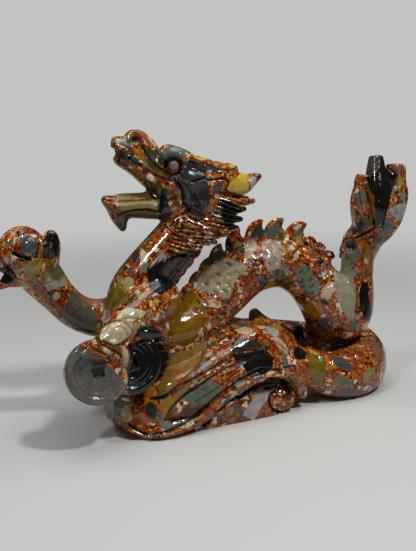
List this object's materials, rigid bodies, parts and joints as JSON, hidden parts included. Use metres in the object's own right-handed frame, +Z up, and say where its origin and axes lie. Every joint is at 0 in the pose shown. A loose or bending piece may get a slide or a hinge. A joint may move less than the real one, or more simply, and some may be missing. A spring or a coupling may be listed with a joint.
{
  "type": "carved jasper dragon",
  "caption": "Dragon carved from one block of polished brecciated stone: open jaws, arched finned back, one paw raised, one on coins, over carved water with a flat underside.",
  "frame": {"origin": "middle of the flat underside of the carved base", "axes": "+Z up; X along the base, with the head towards -X and the hind foot towards +X; the carved front faces -Y"},
  "size_m": [0.397, 0.1224, 0.2547],
  "materials": {
    "polished_jasper": null
  },
  "bodies": {
    "root": {"dragon_carving": "polished_jasper"}
  },
  "joints": []
}
